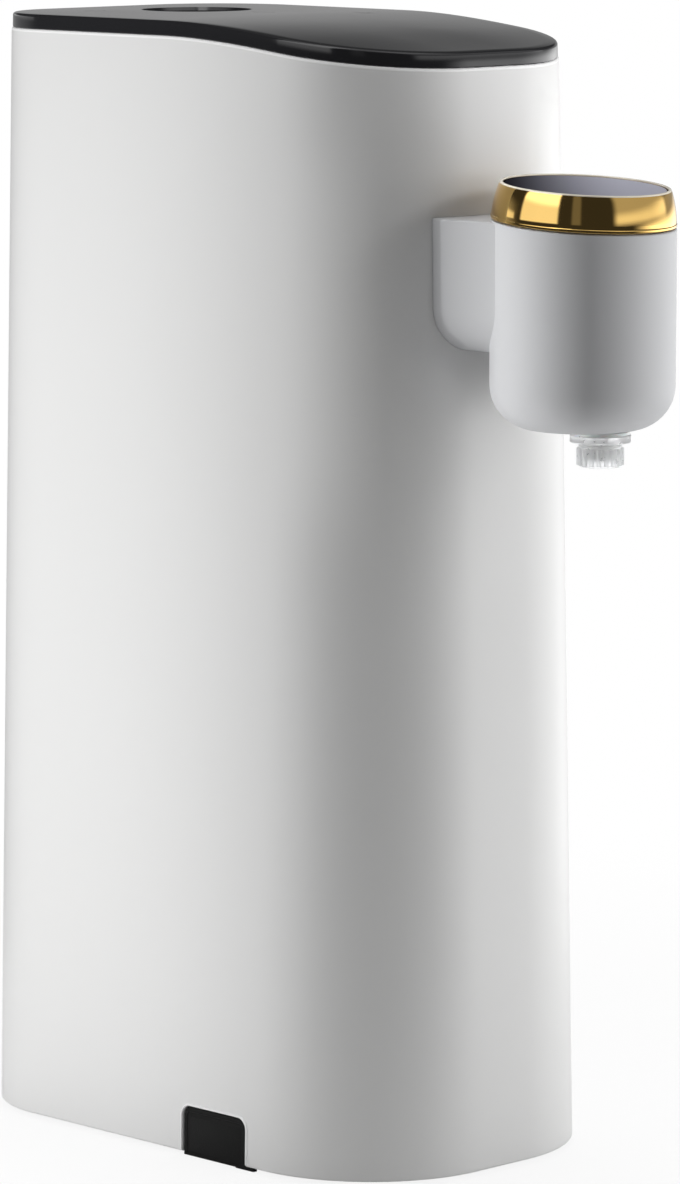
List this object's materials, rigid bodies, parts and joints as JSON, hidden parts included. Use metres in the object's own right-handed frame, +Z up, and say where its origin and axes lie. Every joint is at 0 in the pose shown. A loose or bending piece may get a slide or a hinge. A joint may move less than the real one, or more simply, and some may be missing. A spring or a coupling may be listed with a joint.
{
  "type": "hot water dispenser",
  "caption": "Tall white desktop hot-water dispenser with a waved black lid, a bottle socket, and a tap head on an arm whose ring turns and disc presses.",
  "frame": {"origin": "on the floor, under the middle of the whole outline", "axes": "+Z up, the tap faces -Y, +X to the right of someone who faces the tap"},
  "size_m": [0.1082, 0.224, 0.3158],
  "materials": {
    "shell_white": "satin white moulded shell",
    "base_white": "matt moulded plastic",
    "foot_rubber": "matt rubber",
    "gland_black": "satin black rubber",
    "lid_black": "polished smoke black",
    "board_green": "solder mask",
    "pad_grey": "conductive foam",
    "cup_grey": "dark moulded plastic",
    "silicone": "translucent silicone",
    "steel": "stainless steel",
    "frame_grey": "glass-filled plastic",
    "mount_rubber": "soft rubber",
    "motor_can": "zinc plated can",
    "pump_black": "moulded plastic",
    "part_white": "moulded plastic",
    "element_sheath": "heat tinted sheath",
    "bracket_grey": "heat proof plastic",
    "coil_yellow": "winding tape",
    "relay_blue": "moulded case",
    "sink_alloy": "bare extrusion",
    "terminal_green": "moulded block",
    "tap_grey": "fine satin light grey",
    "gold": "polished gold plating",
    "disc_smoke": "polished smoke disc",
    "nozzle_clear": "clear moulded plastic"
  },
  "bodies": {
    "housing": {"outer_shell": "shell_white", "base_plate": "base_white", "rubber_feet": "foot_rubber", "base_screws": "steel", "cord_gland": "gland_black", "lid_plate": "lid_black", "touch_board": "board_green", "touch_pads": "pad_grey", "socket_cup": "cup_grey", "socket_seal": "mount_rubber", "strainer": "steel", "chassis": "frame_grey", "frame_screws": "steel", "pump_mount": "mount_rubber", "pump_motor": "motor_can", "pump_head": "pump_black", "flow_meter": "pump_black", "heater_tube": "steel", "heater_caps": "part_white", "heating_element": "element_sheath", "heater_saddles": "bracket_grey", "thermal_cutouts": "pump_black", "temp_probe": "steel", "inlet_hose": "silicone", "pump_hose": "silicone", "feed_hose": "silicone", "outlet_hose": "silicone", "hose_clips": "steel", "power_board": "board_green", "transformer": "coil_yellow", "relay": "relay_blue", "heat_sink": "sink_alloy", "terminal_block": "terminal_green", "board_screws": "steel", "signal_lead": "pump_black", "tap_housing": "tap_grey", "tap_bracket": "bracket_grey", "tap_screws": "steel", "knob_base": "part_white", "retaining_ring": "steel", "return_spring": "steel", "knob_board": "board_green", "press_switch": "pump_black", "nozzle": "nozzle_clear", "nozzle_seal": "silicone", "nozzle_nut": "part_white", "flow_straightener": "part_white"},
    "knob": {"knob_ring": "gold", "knob_carrier": "part_white"},
    "button": {"touch_disc": "disc_smoke", "disc_carrier": "part_white"},
    "pump": {"pump_rotor": "steel"},
    "meter": {"flow_impeller": "part_white"}
  },
  "joints": [
    {"name": "knob_turn", "type": "hinge", "parent": "housing", "child": "knob", "pos_m": [0, -0.08714, 0.2639], "axis": [0, -0.0698, 0.9976], "continuous": true},
    {"name": "disc_press", "type": "slide", "parent": "housing", "child": "button", "axis": [0, 0.0698, -0.9976], "range_m": [0, 0.0012], "stiffness_N_per_m": 900, "springref_m": -0.001, "deforming": ["return_spring"]},
    {"name": "pump_spin", "type": "hinge", "parent": "housing", "child": "pump", "pos_m": [0, 0.05256, 0.0436], "axis": [0, 0, 1], "continuous": true},
    {"name": "meter_spin", "type": "hinge", "parent": "housing", "child": "meter", "pos_m": [-0.03, 0.01756, 0.084], "axis": [0, 0, 1], "continuous": true}
  ]
}
